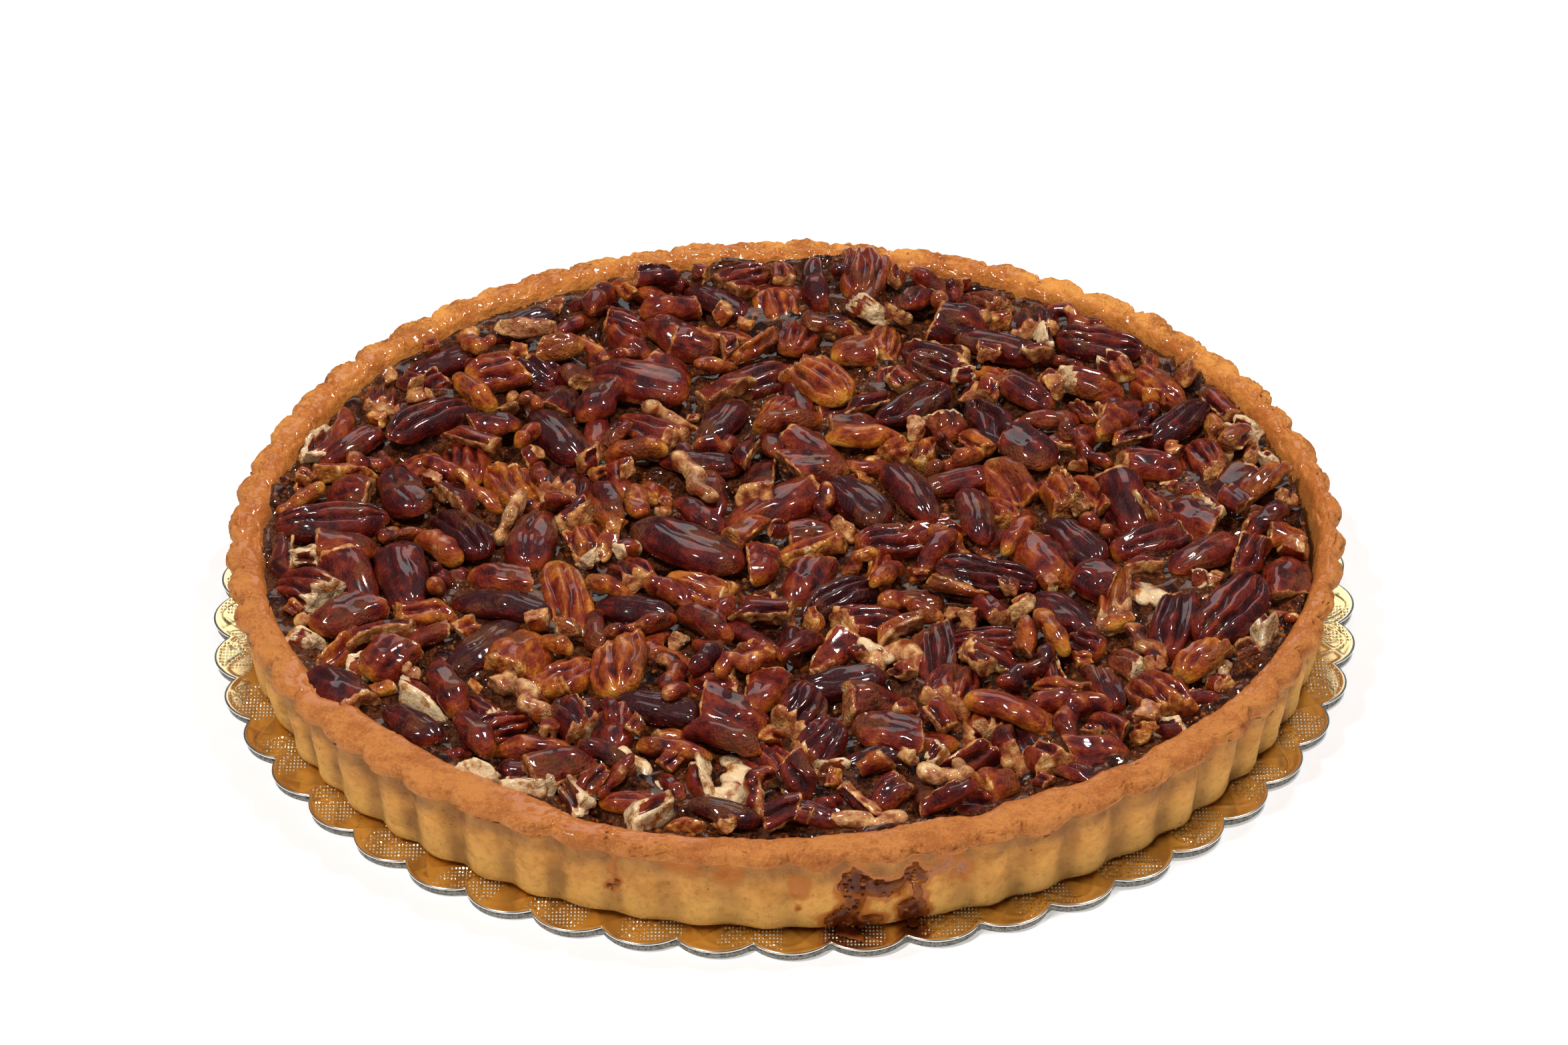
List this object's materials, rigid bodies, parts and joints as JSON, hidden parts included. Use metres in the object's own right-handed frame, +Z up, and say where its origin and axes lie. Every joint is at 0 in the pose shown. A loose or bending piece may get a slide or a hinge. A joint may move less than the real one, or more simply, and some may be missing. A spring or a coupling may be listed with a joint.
{
  "type": "pecan pie",
  "caption": "Round fluted shortcrust tart filled to just below its rim with caramel and pecans, on a scalloped gold cake card.",
  "frame": {"origin": "centre of the cake card's underside", "axes": "+Z up out of the pie; X and Y lie in the card and are equivalent, since the pie is round"},
  "size_m": [0.2876, 0.2876, 0.0318],
  "materials": {
    "card": "gold foil on white board, embossed",
    "crust": "baked shortcrust, matt and sandy",
    "filling": "set caramel, bubbly and glossy",
    "pecan": "roasted pecan glazed with caramel"
  },
  "bodies": {
    "root": {"cake_card": "card", "crust": "crust", "filling": "filling", "pecan_01": "pecan", "pecan_02": "pecan", "pecan_03": "pecan", "pecan_04": "pecan", "pecan_05": "pecan", "pecan_06": "pecan", "pecan_07": "pecan", "pecan_08": "pecan", "pecan_09": "pecan", "pecan_10": "pecan", "pecan_11": "pecan", "pecan_12": "pecan", "pecan_13": "pecan", "pecan_14": "pecan", "pecan_15": "pecan", "pecan_16": "pecan", "pecan_17": "pecan", "pecan_18": "pecan", "pecan_19": "pecan", "pecan_20": "pecan", "pecan_21": "pecan", "pecan_22": "pecan", "pecan_23": "pecan", "pecan_24": "pecan", "pecan_25": "pecan", "pecan_26": "pecan", "pecan_27": "pecan", "pecan_28": "pecan", "pecan_29": "pecan", "pecan_30": "pecan", "pecan_31": "pecan", "pecan_32": "pecan", "pecan_33": "pecan", "pecan_34": "pecan", "pecan_35": "pecan", "pecan_36": "pecan", "pecan_37": "pecan", "pecan_38": "pecan"}
  },
  "joints": []
}
